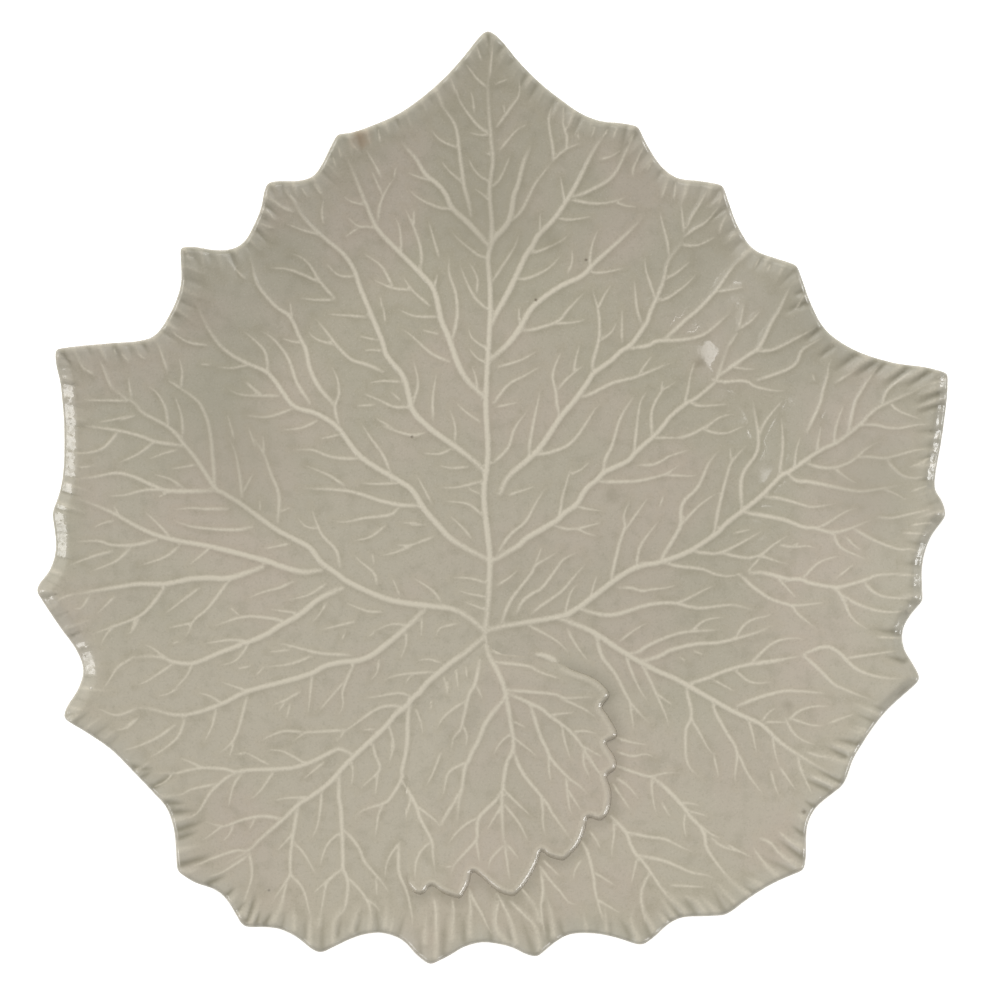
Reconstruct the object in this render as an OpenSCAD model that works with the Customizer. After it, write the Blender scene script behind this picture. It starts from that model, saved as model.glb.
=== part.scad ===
// Leaf shaped plate: a large toothed leaf pressed as a shallow dish, with a small leaf laid
// in relief across its lower half and a turned foot ring under the floor.
// The dish lies face up: +Z is up, +Y is towards the top tooth, and Z 0 is the table.
// Tables whose names end in shares hold grid steps. The grid has leaf_l_shares steps along
// the length of the large leaf and leaf_w_shares across its width, counted from the upper left.

/* [Large leaf] */
// Length of the large leaf from its top tooth to its bottom tooth
leaf_l = 290; // [220:1:360]
// Width of the large leaf across its outer teeth
leaf_w = 283; // [220:1:360]
// Rise of the rim above the floor of the well, between the teeth
rim_rise = 16; // [8:1:24]
// Thickness of the clay under the floor of the well
floor_t = 5; // [3.5:0.5:8]
// Thickness of the clay at the rim
rim_t = 4; // [3:0.5:6]
// Width of the rounding along the edge of the rim
lip_round = 1.2; // [0.6:0.1:1.4]

/* [Foot ring] */
// Outer diameter of the foot ring
foot_d = 140; // [110:1:150]
// Width of the foot ring at its root
foot_w = 7; // [5:0.5:10]
// Height of the foot ring, from the table to the underside of the floor
foot_h = 5; // [3:0.5:8]
// Width of the slope on each side of the foot ring
foot_slope = 1.5; // [0.5:0.1:2.4]
// Flat floor left outside the foot ring
foot_margin = 5; // [3:0.5:8]

/* [Veins] */
// Width of a main vein at its root
vein_w = 3.2; // [2:0.1:5]
// Height of a main vein above the clay at its root
vein_h = 1; // [0.5:0.1:1.6]
// Width of a side vein at its root
side_vein_w = 2.2; // [1.2:0.1:3]
// Height of a side vein above the clay at its root
side_vein_h = 0.6; // [0.4:0.1:1]
// Depth that a vein's root goes into the clay
vein_root = 1.2; // [1:0.1:2]

/* [Small leaf] */
// Thickness of the small leaf along its free toothed edge
small_t = 2.6; // [1.5:0.1:4]
// Thickness of the small leaf where it runs out into the large one
small_merge_t = 0.4; // [0.3:0.1:0.8]
// Width over which the small leaf comes up to its full thickness
small_blend_w = 16; // [8:1:30]
// Spacing of the points of the small leaf's top face
small_step = 5.5; // [4:0.5:8]

/* [Hidden] */

// Grid steps along the large leaf's length and width, and the grid place of its middle
leaf_l_shares = 935;
leaf_w_shares = 913;
middle_shares = [491.5, 497.5];

// Outline of the large leaf, clockwise from the top tooth. Each row starts at a tooth.
rim_shares = [
    [[488, 30], [500, 39], [520, 63], [540, 83], [560, 99], [580, 113], [600, 121], [620, 123]],
    [[638, 126], [645, 141], [650, 150], [660, 165], [670, 174], [680, 179], [700, 181]],
    [[723, 185], [728, 200], [735, 220], [742, 234], [750, 246], [760, 253], [775, 258]],
    [[797, 265], [802, 279], [811, 304], [824, 328], [842, 343], [864, 354], [895, 363], [925, 367]],
    [[948, 373], [947, 399], [942, 437], [938, 459], [935, 477], [935, 490], [942, 501]],
    [[946, 513], [944, 519], [933, 533], [926, 548], [922, 566], [922, 588]],
    [[923, 601], [916, 608], [907, 620], [902, 633], [904, 649], [913, 664]],
    [[920, 677], [918, 682], [902, 696], [887, 710], [873, 727], [862, 744], [853, 759], [846, 779]],
    [[842, 786], [829, 796], [816, 807], [808, 822], [806, 837], [806, 855]],
    [[804, 870], [799, 872], [784, 878], [766, 887], [746, 900], [733, 910]],
    [[725, 915], [706, 916], [683, 917], [668, 924], [655, 936]],
    [[643, 945], [633, 943], [615, 937], [593, 933], [570, 934], [555, 942]],
    [[537, 957], [526, 954], [512, 947], [495, 943], [481, 942], [463, 947], [450, 955]],
    [[430, 965], [416, 954], [403, 940], [385, 933], [370, 933], [352, 938]],
    [[321, 953], [312, 949], [297, 937], [281, 929], [266, 927]],
    [[246, 927], [241, 923], [232, 907], [223, 895], [212, 888], [194, 882]],
    [[177, 871], [176, 851], [174, 829], [167, 808], [154, 793], [134, 772], [112, 750], [89, 734],
        [74, 725]],
    [[63, 718], [67, 706], [77, 691], [83, 675], [82, 662], [74, 646], [62, 630], [49, 611]],
    [[36, 591], [40, 582], [48, 573], [54, 559], [56, 544], [54, 526]],
    [[52, 513], [58, 497], [62, 481], [64, 459], [64, 425], [62, 399], [60, 381], [56, 365]],
    [[55, 349], [78, 346], [112, 343], [138, 341], [154, 336], [166, 321], [176, 301], [181, 283],
        [181, 268]],
    [[180, 247], [196, 247], [214, 250], [232, 249], [245, 241], [254, 225], [261, 208], [264, 192]],
    [[267, 183], [277, 181], [297, 181], [312, 177], [321, 166], [329, 150]],
    [[337, 134], [354, 132], [381, 122], [400, 113], [420, 99], [440, 82], [460, 61], [480, 36]]
];

// Main veins of the large leaf, each from its root to its tip
main_vein_shares = [
    [[485, 632], [489, 582], [488, 537], [484, 495], [487, 425], [489, 343], [490, 286], [492, 223],
        [491, 138], [490, 62], [492, 44]],
    [[489, 246], [452, 208], [438, 185], [415, 158], [399, 137]],
    [[485, 398], [463, 374], [448, 336], [434, 290], [399, 252], [367, 207], [341, 150]],
    [[486, 473], [452, 444], [414, 412], [387, 356], [361, 290], [325, 239], [278, 186]],
    [[488, 560], [454, 541], [412, 490], [361, 457], [338, 428], [295, 407], [265, 371], [217, 342],
        [187, 290]],
    [[485, 631], [452, 609], [390, 600], [336, 573], [274, 528], [215, 488], [176, 434], [125, 398],
        [100, 361]],
    [[321, 570], [263, 560], [179, 541], [122, 518], [72, 498]],
    [[263, 567], [230, 578], [165, 584], [70, 595]],
    [[342, 588], [263, 636], [194, 663], [122, 665]],
    [[424, 610], [378, 651], [325, 666], [248, 691], [190, 714], [120, 711]],
    [[484, 637], [452, 662], [420, 692], [385, 727], [348, 762], [310, 797], [270, 830], [237, 857],
        [212, 870]],
    [[485, 632], [512, 625], [566, 615], [602, 590], [644, 565], [698, 546], [750, 505], [803, 463],
        [850, 433], [889, 402], [936, 380]],
    [[556, 617], [600, 637], [655, 670], [711, 698], [764, 726], [796, 753], [833, 775]],
    [[489, 563], [527, 538], [577, 504], [597, 480], [635, 453], [671, 416], [708, 381], [727, 347],
        [739, 329], [744, 303]],
    [[488, 522], [505, 482], [545, 441], [588, 382], [628, 347], [654, 304], [668, 262], [687, 227],
        [709, 189]],
    [[490, 360], [520, 328], [546, 296], [589, 269], [627, 234], [648, 212]],
    [[490, 328], [515, 279], [538, 236], [568, 198], [593, 152], [609, 126]],
    [[490, 248], [509, 221], [521, 173], [533, 142]]
];

// Side veins of the large leaf, each from its root to its tip
side_vein_shares = [
    [[471, 216], [462, 170], [452, 120], [434, 96]],
    [[509, 222], [530, 195], [553, 161], [549, 124], [554, 103]],
    [[571, 197], [605, 183], [624, 155], [634, 134]],
    [[589, 269], [592, 246], [599, 227]],
    [[519, 330], [552, 324], [588, 290]],
    [[593, 374], [599, 339], [590, 285]],
    [[580, 397], [636, 377], [678, 362]],
    [[560, 417], [553, 380], [563, 347]],
    [[531, 456], [574, 440], [604, 400]],
    [[625, 349], [670, 340], [703, 335], [735, 308]],
    [[663, 341], [697, 311], [723, 281], [745, 252]],
    [[717, 378], [749, 355], [773, 320], [795, 279]],
    [[755, 351], [788, 343], [819, 324]],
    [[758, 380], [792, 367], [828, 335]],
    [[712, 379], [748, 382], [790, 389]],
    [[603, 472], [616, 434], [637, 391]],
    [[652, 437], [657, 399], [678, 379]],
    [[597, 481], [650, 479], [684, 461]],
    [[677, 438], [709, 425], [738, 415]],
    [[558, 520], [563, 495], [572, 464]],
    [[499, 551], [526, 521], [548, 484]],
    [[502, 622], [524, 583], [561, 547]],
    [[532, 613], [562, 591], [589, 561]],
    [[610, 584], [619, 545], [632, 495]],
    [[660, 561], [681, 523], [703, 477], [725, 446]],
    [[714, 534], [722, 494], [750, 441]],
    [[742, 511], [742, 477], [758, 432], [753, 395]],
    [[807, 432], [823, 391], [835, 354]],
    [[848, 434], [859, 395], [882, 365]],
    [[860, 425], [888, 428], [932, 424]],
    [[858, 457], [887, 458], [904, 476], [928, 475]],
    [[787, 473], [835, 487], [907, 484]],
    [[741, 512], [792, 523], [838, 532], [879, 517], [932, 508]],
    [[853, 528], [886, 545], [920, 552]],
    [[690, 551], [731, 548], [767, 528]],
    [[662, 562], [712, 573], [752, 586], [792, 606], [821, 632]],
    [[750, 573], [801, 579], [844, 586], [892, 574], [915, 573]],
    [[832, 587], [848, 610], [872, 632]],
    [[580, 608], [625, 612], [673, 603], [729, 605], [764, 613]],
    [[629, 654], [669, 636], [727, 628]],
    [[640, 661], [683, 646], [734, 639], [780, 625]],
    [[686, 685], [734, 668], [804, 654], [841, 654], [880, 677], [908, 679]],
    [[803, 655], [833, 683], [870, 699]],
    [[737, 706], [784, 691], [833, 695]],
    [[602, 656], [621, 685], [653, 727]],
    [[640, 661], [657, 696], [668, 732]],
    [[686, 683], [691, 719], [686, 754], [705, 779]],
    [[713, 699], [737, 751], [765, 797]],
    [[652, 777], [683, 806], [705, 836], [742, 888]],
    [[627, 827], [636, 854], [665, 893], [682, 912]],
    [[588, 853], [594, 878], [605, 928]],
    [[627, 832], [665, 839], [698, 852]],
    [[402, 706], [375, 710], [339, 740]],
    [[354, 755], [323, 756], [278, 769], [225, 769], [146, 775]],
    [[236, 773], [210, 793], [178, 821]],
    [[283, 819], [241, 820], [202, 841]],
    [[339, 775], [341, 832], [343, 866], [348, 892], [330, 938]],
    [[342, 832], [365, 861], [393, 899]],
    [[298, 806], [290, 875], [269, 908]],
    [[408, 715], [405, 757], [391, 797], [353, 826]],
    [[409, 628], [400, 660]],
    [[354, 663], [343, 690], [317, 713]],
    [[288, 622], [243, 617], [210, 627]],
    [[230, 579], [194, 620], [181, 641]],
    [[165, 586], [141, 615], [87, 636]],
    [[185, 446], [143, 437], [78, 425]],
    [[212, 491], [134, 477], [74, 479]],
    [[215, 486], [210, 432], [181, 389], [178, 356]],
    [[260, 510], [240, 477], [228, 437]],
    [[278, 521], [271, 474], [252, 432]],
    [[340, 567], [310, 504]],
    [[377, 584], [352, 553]],
    [[421, 506], [381, 501], [297, 488]],
    [[359, 459], [290, 450]],
    [[335, 406], [306, 350], [257, 284], [246, 250]],
    [[339, 426], [339, 394], [330, 364]],
    [[310, 403], [272, 338], [256, 329]],
    [[292, 409], [243, 415]],
    [[410, 407], [359, 392]],
    [[376, 368], [338, 347], [312, 315]],
    [[413, 404], [413, 359]],
    [[452, 340], [450, 252]],
    [[430, 306], [402, 275]],
    [[421, 268], [403, 205]],
    [[321, 283], [266, 268]]
];

// Outline of the small leaf, clockwise from the middle where the veins meet.
// The first rows are its free toothed edge, the last two run out into the large leaf.
small_rim_shares = [
    [[485, 640], [501, 653], [528, 655], [548, 656]],
    [[555, 661], [572, 671], [591, 678], [601, 685]],
    [[609, 694], [605, 700], [600, 706], [607, 717], [613, 727]],
    [[617, 735], [613, 738], [604, 742], [610, 752], [614, 758]],
    [[616, 765], [613, 770], [605, 775], [609, 788], [610, 797], [607, 813]],
    [[600, 820], [587, 816], [584, 828], [577, 845]],
    [[563, 860], [548, 855], [541, 849], [535, 865], [523, 885]],
    [[513, 896], [498, 890], [473, 870], [468, 882]],
    [[460, 898], [443, 892], [431, 884]],
    [[422, 894], [415, 892]],
    [[408, 884], [403, 855], [401, 820], [402, 778]],
    [[408, 728], [414, 706], [430, 685], [465, 654]]
];

// Line along which the small leaf runs out into the large one
merge_line_shares = [[408, 884], [402, 830], [402, 778], [409, 725], [430, 683], [485, 640]];

// Main veins of the small leaf, each from its root to its tip
small_main_shares = [
    [[488, 653], [502, 681], [509, 714], [513, 750], [503, 785], [503, 832], [516, 860]],
    [[506, 697], [483, 730], [465, 767], [458, 816]]
];

// Side veins of the small leaf, each from its root to its tip
small_side_shares = [
    [[506, 690], [553, 694], [596, 699]],
    [[497, 662], [528, 666], [567, 681]],
    [[509, 694], [540, 708], [577, 738], [599, 774]],
    [[530, 703], [546, 747], [580, 786], [595, 799]],
    [[513, 750], [529, 782], [561, 825], [573, 842]],
    [[503, 787], [533, 818]],
    [[503, 803], [529, 843]],
    [[469, 761], [449, 772], [440, 799]],
    [[502, 790], [477, 828], [452, 870]],
    [[480, 662], [469, 695], [461, 728], [450, 757]],
    [[418, 808], [432, 841], [435, 878]]
];

// Steps of the radius from the edge of the flat floor to the rim, on top and underneath
top_ring_shares = [0, 0.19, 0.38, 0.57, 0.74, 0.89];
under_ring_shares = [0.7, 0.35, 0];
// Curve of the rising wall
wall_power = 1.5;
// Half width of the span that the rim's general sweep is averaged over, and its steps
sweep_turn = 10;
sweep_steps = 4;
// Narrowing of a vein at its crest and at its tip, and lowering of its tip
crest_share = 0.35;
tip_w_share = 0.45;
tip_h_share = 0.4;
// Sides of a main vein's knobs
knob_sides = 4;
// Steps that the small leaf's sheet starts before the leaf's outline
sheet_lead_steps = 1.3;
// Pieces of the foot ring's circle
foot_facets = 120;
glaze = [0.69, 0.66, 0.59];
bare_clay = [0.80, 0.74, 0.65];

floor_r = foot_d / 2 + foot_margin;
floor_z = foot_h + floor_t;

function at(p) = [
    (p.x - middle_shares.x) / leaf_w_shares * leaf_w,
    (middle_shares.y - p.y) / leaf_l_shares * leaf_l
];
function line_at(row) = [for (p = row) at(p)];

rim = [for (row = rim_shares) for (p = row) at(p)];
rim_n = len(rim);
rim_turn = [for (p = rim) atan2(p.y, p.x)];
rim_reach = [for (lap = [-360, 0, 360]) for (i = [0:rim_n - 1]) [rim_turn[i] + lap, norm(rim[i])]];

// Radius of the rim's general sweep, without its teeth, at a turn about the middle
function sweep_at(turn) =
    let (span = [for (k = [-sweep_steps:sweep_steps]) lookup(turn + k * sweep_turn / sweep_steps, rim_reach)])
    span * [for (s = span) 1] / len(span);
sweep_table = [for (lap = [-360, 0, 360]) for (turn = [-180:5:175]) [turn + lap, sweep_at(turn)]];
function sweep(p) = lookup(atan2(p.y, p.x), sweep_table);

// Height of the dish's top face at a place
function top_z(p) =
    floor_z + rim_rise * pow(max(0, (norm(p) - floor_r) / (sweep(p) - floor_r)), wall_power);
// Thickness of the clay, from the floor to the rim
function clay_t(p) =
    let (out = max(0, min(1, (norm(p) - floor_r) / (sweep(p) - floor_r))))
    floor_t + (rim_t - floor_t) * out;

function ring_at(share, inset) = [
    for (p = rim)
        let (dir = p / norm(p))
        dir * (floor_r + (norm(p) - inset - floor_r) * share)
];
function raised(points) = [for (p = points) [p.x, p.y, top_z(p)]];
function sunk(points) = [for (p = points) [p.x, p.y, top_z(p) - clay_t(p)]];

// The rings of the dish from the top face over the lip to the underside
lip = ring_at(1, 0);
dish_rings = concat(
    [for (s = top_ring_shares) raised(ring_at(s, lip_round))],
    [raised(ring_at(1, lip_round))],
    [[for (p = lip) [p.x, p.y, top_z(p) - lip_round]]],
    [[for (p = lip) [p.x, p.y, top_z(p) - clay_t(p) + lip_round]]],
    [sunk(ring_at(1, lip_round))],
    [for (s = under_ring_shares) sunk(ring_at(s, lip_round))]
);
ring_n = len(dish_rings);

// The dish without its veins: rings of points joined into one closed shell
module dish_body() {
    points = concat([[0, 0, floor_z]], [for (r = dish_rings) for (p = r) p], [[0, 0, foot_h]]);
    last = len(points) - 1;
    faces = concat(
        [for (i = [0:rim_n - 1]) [0, 1 + i, 1 + (i + 1) % rim_n]],
        [for (r = [0:ring_n - 2]) for (i = [0:rim_n - 1]) for (half = [0, 1])
            let (a = 1 + r * rim_n + i, b = 1 + r * rim_n + (i + 1) % rim_n)
            half == 0 ? [a, a + rim_n, b] : [b, a + rim_n, b + rim_n]],
        [for (i = [0:rim_n - 1])
            [last, last - rim_n + (i + 1) % rim_n, last - rim_n + i]]
    );
    polyhedron(points, faces);
}

// One main vein: a chain of blended knobs that narrows and sinks towards its tip
module main_vein(points, width, height, lift) {
    n = len(points) - 1;
    module knob(i) {
        w = width * (1 + (tip_w_share - 1) * i / n);
        h = height * (1 + (tip_h_share - 1) * i / n);
        translate([points[i].x, points[i].y, top_z(points[i]) + lift[i] - vein_root])
            cylinder(h = vein_root + h, d1 = w, d2 = w * crest_share, $fn = knob_sides);
    }
    for (i = [0:n - 1])
        hull() {
            knob(i);
            knob(i + 1);
        }
}

// One side vein: a ridge of three edges swept along its points, narrowing towards its tip
module side_vein(points, width, height, lift) {
    n = len(points) - 1;
    edges = [for (i = [0:n])
        let (
            p = points[i],
            run = points[min(i + 1, n)] - points[max(i - 1, 0)],
            left = [-run.y, run.x] / norm(run) * width / 2 * (1 + (tip_w_share - 1) * i / n),
            z = top_z(p) + lift[i],
            h = height * (1 + (tip_h_share - 1) * i / n)
        )
        each [
            [p.x + left.x, p.y + left.y, z - vein_root],
            [p.x, p.y, z + h],
            [p.x - left.x, p.y - left.y, z - vein_root]
        ]];
    sides = [for (i = [0:n - 1]) for (k = [0:2]) for (half = [0, 1])
        let (a = 3 * i + k, b = 3 * i + (k + 1) % 3)
        half == 0 ? [a, a + 3, b + 3] : [a, b + 3, b]];
    polyhedron(edges, concat([[0, 1, 2]], sides, [[3 * n + 2, 3 * n + 1, 3 * n]]));
}

// The large leaf, pressed in one with its raised veins
module leaf_dish() {
    color(glaze)
    union() {
        dish_body();
        for (row = main_vein_shares)
            main_vein(line_at(row), vein_w, vein_h, [for (p = row) 0]);
        for (row = side_vein_shares)
            side_vein(line_at(row), side_vein_w, side_vein_h, [for (p = row) 0]);
    }
}

// Distance of a place from the line where the small leaf runs out
merge_line = line_at(merge_line_shares);
function from_piece(p, a, b) =
    let (along = max(0, min(1, ((p - a) * (b - a)) / ((b - a) * (b - a)))))
    norm(p - a - (b - a) * along);
function from_merge(p) =
    min([for (i = [0:len(merge_line) - 2]) from_piece(p, merge_line[i], merge_line[i + 1])]);
// Thickness of the small leaf at a place
function small_at(p) =
    let (u = min(1, from_merge(p) / small_blend_w))
    small_merge_t + (small_t - small_merge_t) * u * u * (3 - 2 * u);

small_rim = [for (row = small_rim_shares) for (p = row) at(p)];
small_lo = [min([for (p = small_rim) p.x]), min([for (p = small_rim) p.y])];
small_hi = [max([for (p = small_rim) p.x]), max([for (p = small_rim) p.y])];

// The small leaf's block of clay before it is cut to its outline: a sheet over a grid,
// with its top above the dish by the leaf's thickness and its bottom inside the dish's clay
module small_sheet() {
    nx = ceil((small_hi.x - small_lo.x) / small_step) + 2;
    ny = ceil((small_hi.y - small_lo.y) / small_step) + 2;
    places = [for (j = [0:ny]) for (i = [0:nx])
        small_lo + [i - sheet_lead_steps, j - sheet_lead_steps] * small_step];
    count = len(places);
    points = concat(
        [for (p = places) [p.x, p.y, top_z(p) + small_at(p)]],
        [for (p = places) [p.x, p.y, top_z(p) - floor_t / 2]]
    );
    row = nx + 1;
    edge = concat(
        [for (i = [0:nx]) i],
        [for (j = [1:ny]) j * row + nx],
        [for (i = [nx - 1:-1:0]) ny * row + i],
        [for (j = [ny - 1:-1:1]) j * row]
    );
    faces = concat(
        [for (j = [0:ny - 1]) for (i = [0:nx - 1]) for (half = [0, 1])
            let (a = j * row + i)
            half == 0 ? [a, a + row, a + 1] : [a + 1, a + row, a + row + 1]],
        [for (j = [0:ny - 1]) for (i = [0:nx - 1]) for (half = [0, 1])
            let (a = count + j * row + i)
            half == 0 ? [a, a + 1, a + row] : [a + 1, a + row + 1, a + row]],
        [for (k = [0:len(edge) - 1]) for (half = [0, 1])
            let (a = edge[k], b = edge[(k + 1) % len(edge)])
            half == 0 ? [a, b, a + count] : [b, b + count, a + count]]
    );
    polyhedron(points, faces);
}

// The small leaf, seated on the dish along its whole underside
module overlay_leaf() {
    color(glaze)
    difference() {
        union() {
            intersection() {
                small_sheet();
                linear_extrude(floor_z + rim_rise + rim_rise)
                    polygon(small_rim);
            }
            for (row = small_main_shares)
                main_vein(line_at(row), vein_w, vein_h, [for (p = line_at(row)) small_at(p)]);
            for (row = small_side_shares)
                side_vein(line_at(row), side_vein_w, side_vein_h, [for (p = line_at(row)) small_at(p)]);
        }
        dish_body();
    }
}

// The foot ring, turned on the underside of the floor
module foot_ring() {
    r = foot_d / 2;
    color(bare_clay)
    rotate_extrude($fn = foot_facets)
        polygon([
            [r - foot_w, foot_h],
            [r - foot_w + foot_slope, 0],
            [r - foot_slope, 0],
            [r, foot_h]
        ]);
}

leaf_dish();
overlay_leaf();
foot_ring();
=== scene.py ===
import math

import bmesh
import bpy
import numpy as np
from mathutils import Euler, Matrix, Vector
from mathutils.geometry import delaunay_2d_cdt
from mathutils.kdtree import KDTree


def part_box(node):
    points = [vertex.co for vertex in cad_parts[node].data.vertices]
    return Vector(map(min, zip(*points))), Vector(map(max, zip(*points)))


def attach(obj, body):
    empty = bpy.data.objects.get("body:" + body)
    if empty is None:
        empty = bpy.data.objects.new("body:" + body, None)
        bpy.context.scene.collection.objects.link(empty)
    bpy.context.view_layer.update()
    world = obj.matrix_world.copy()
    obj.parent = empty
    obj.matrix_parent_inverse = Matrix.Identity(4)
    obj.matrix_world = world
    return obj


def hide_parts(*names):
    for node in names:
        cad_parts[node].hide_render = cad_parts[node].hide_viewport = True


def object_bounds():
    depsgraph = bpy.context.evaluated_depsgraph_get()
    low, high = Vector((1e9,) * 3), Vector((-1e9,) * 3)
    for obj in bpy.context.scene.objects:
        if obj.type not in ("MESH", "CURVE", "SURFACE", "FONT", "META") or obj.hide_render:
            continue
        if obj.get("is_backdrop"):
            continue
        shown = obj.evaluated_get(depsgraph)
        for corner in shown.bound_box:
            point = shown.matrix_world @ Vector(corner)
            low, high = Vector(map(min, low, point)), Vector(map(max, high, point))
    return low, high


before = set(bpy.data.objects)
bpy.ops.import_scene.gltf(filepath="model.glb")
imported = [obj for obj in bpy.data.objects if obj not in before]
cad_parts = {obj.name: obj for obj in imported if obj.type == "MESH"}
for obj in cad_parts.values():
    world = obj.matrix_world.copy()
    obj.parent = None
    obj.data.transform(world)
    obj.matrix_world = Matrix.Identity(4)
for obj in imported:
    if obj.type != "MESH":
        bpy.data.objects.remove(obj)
cad_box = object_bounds()


# The large leaf's body: a shallow dish of pale clay, pressed in a mould and cut to a toothed edge.
# Its floor is flat over the foot ring, its wall rises in a long curve, its lip is sponged round.
mm = 0.001
leaf_low, leaf_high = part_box("leaf_dish")
ring_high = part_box("foot_ring")[1]
floor_t = 5 * mm
rim_t = 4 * mm
rim_rise = 16 * mm
wall_power = 1.5
lip_r = 1.3 * mm
floor_r = ring_high.x + 5 * mm
floor_z = leaf_low.z + floor_t
# Pixels of the photograph that the leaf's box covers: left, top, right and bottom
leaf_px = (36, 30, 948, 965)
# The outline in pixels, clockwise from the top tooth. Each row starts at a tooth.
rim_px = """
488,30 500,39 520,63 540,83 560,99 580,113 600,121 620,123 |
638,126 645,141 650,150 660,165 670,174 680,179 700,181 |
723,185 728,200 735,220 742,234 750,246 760,253 775,258 |
797,265 802,279 811,304 824,328 842,343 864,354 895,363 925,367 |
948,373 947,399 942,437 938,459 935,477 935,490 942,501 |
946,513 944,519 933,533 926,548 922,566 922,588 |
923,601 916,608 907,620 902,633 904,649 913,664 |
920,677 918,682 902,696 887,710 873,727 862,744 853,759 846,779 |
842,786 829,796 816,807 808,822 806,837 806,855 |
804,870 799,872 784,878 766,887 746,900 733,910 |
725,915 706,916 683,917 668,924 655,936 |
643,945 633,943 615,937 593,933 570,934 555,942 |
537,957 526,954 512,947 495,943 481,942 463,947 450,955 |
430,965 416,954 403,940 385,933 370,933 352,938 |
321,953 312,949 297,937 281,929 266,927 |
246,927 241,923 232,907 223,895 212,888 194,882 |
177,871 176,851 174,829 167,808 154,793 134,772 112,750 89,734 74,725 |
63,718 67,706 77,691 83,675 82,662 74,646 62,630 49,611 |
36,591 40,582 48,573 54,559 56,544 54,526 |
52,513 58,497 62,481 64,459 64,425 62,399 60,381 56,365 |
55,349 78,346 112,343 138,341 154,336 166,321 176,301 181,283 181,268 |
180,247 196,247 214,250 232,249 245,241 254,225 261,208 264,192 |
267,183 277,181 297,181 312,177 321,166 329,150 |
337,134 354,132 381,122 400,113 420,99 440,82 460,61 480,36
"""


def traces(text):
    """The lines that a table of pixels holds, as places on the plate in metres."""
    lines = []
    for row in text.split("|"):
        px = np.array([[float(n) for n in point.split(",")] for point in row.split()])
        share = (px - leaf_px[:2]) / np.subtract(leaf_px[2:], leaf_px[:2])
        x = leaf_low.x + share[:, 0] * (leaf_high.x - leaf_low.x)
        y = leaf_high.y - share[:, 1] * (leaf_high.y - leaf_low.y)
        lines.append(np.stack([x, y], -1))
    return lines


def smooth_line(points, step):
    """Places a step apart along a curve that passes through all the points."""
    p = np.vstack([2 * points[0] - points[1], points, 2 * points[-1] - points[-2]])
    t = np.linspace(0, 1, 8, endpoint=False)[:, None]
    curve = [
        0.5 * (2 * b + (c - a) * t + (2 * a - 5 * b + 4 * c - d) * t**2
               + (3 * b - a - 3 * c + d) * t**3)
        for a, b, c, d in zip(p, p[1:], p[2:], p[3:])
    ]
    curve = np.vstack(curve + [points[-1:]])
    run = np.concatenate([[0], np.cumsum(np.linalg.norm(np.diff(curve, axis=0), axis=1))])
    stops = np.linspace(0, run[-1], max(3, round(run[-1] / step) + 1))
    return np.stack([np.interp(stops, run, curve[:, k]) for k in (0, 1)], -1)


def scalloped(rows, step, rounding=3):
    """A closed outline of scallops that meet at teeth with worn tips, and its normals."""
    joined = [np.vstack([row, after[:1]]) for row, after in zip(rows, rows[1:] + rows[:1])]
    loop = np.vstack([smooth_line(row, step)[:-1] for row in joined])
    for _ in range(rounding):
        loop = (np.roll(loop, 1, 0) + 2 * loop + np.roll(loop, -1, 0)) / 4
    run = np.roll(loop, -2, 0) - np.roll(loop, 2, 0)
    run /= np.linalg.norm(run, axis=1)[:, None]
    return loop, np.stack([-run[:, 1], run[:, 0]], -1)


rim_step = 0.9 * mm
rim, rim_out = scalloped(traces(rim_px), rim_step)
rim_turn = np.arctan2(rim[:, 1], rim[:, 0])
rim_reach = np.linalg.norm(rim, axis=1)
# The wall follows the rim's mean reach over these turns, so the teeth don't dent it
sweep_turns = np.radians(np.linspace(-10, 10, 9))


def wall_share(p):
    """How far a place lies up the wall: 0 where the floor ends, 1 at the rim's general sweep."""
    turn = np.arctan2(p[:, 1], p[:, 0])
    sweep = [np.interp(turn + k, rim_turn, rim_reach, period=2 * math.pi) for k in sweep_turns]
    sweep = np.mean(sweep, axis=0)
    return np.maximum(0, (np.linalg.norm(p, axis=1) - floor_r) / (sweep - floor_r))


def top_z(p):
    return floor_z + rim_rise * wall_share(p) ** wall_power


def under_z(p):
    return top_z(p) - floor_t + (floor_t - rim_t) * np.minimum(1, wall_share(p))


# The veins of the large leaf: rounded ridges pressed in one with the clay. The main ones fan out
# from where the stalk would join, and each narrows and sinks towards its tip.
main_vein_w = 1.5 * mm
main_vein_h = 0.34 * mm
long_vein = 45 * mm
vein_step = 1.3 * mm
least_ridge = 0.05 * mm
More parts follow.
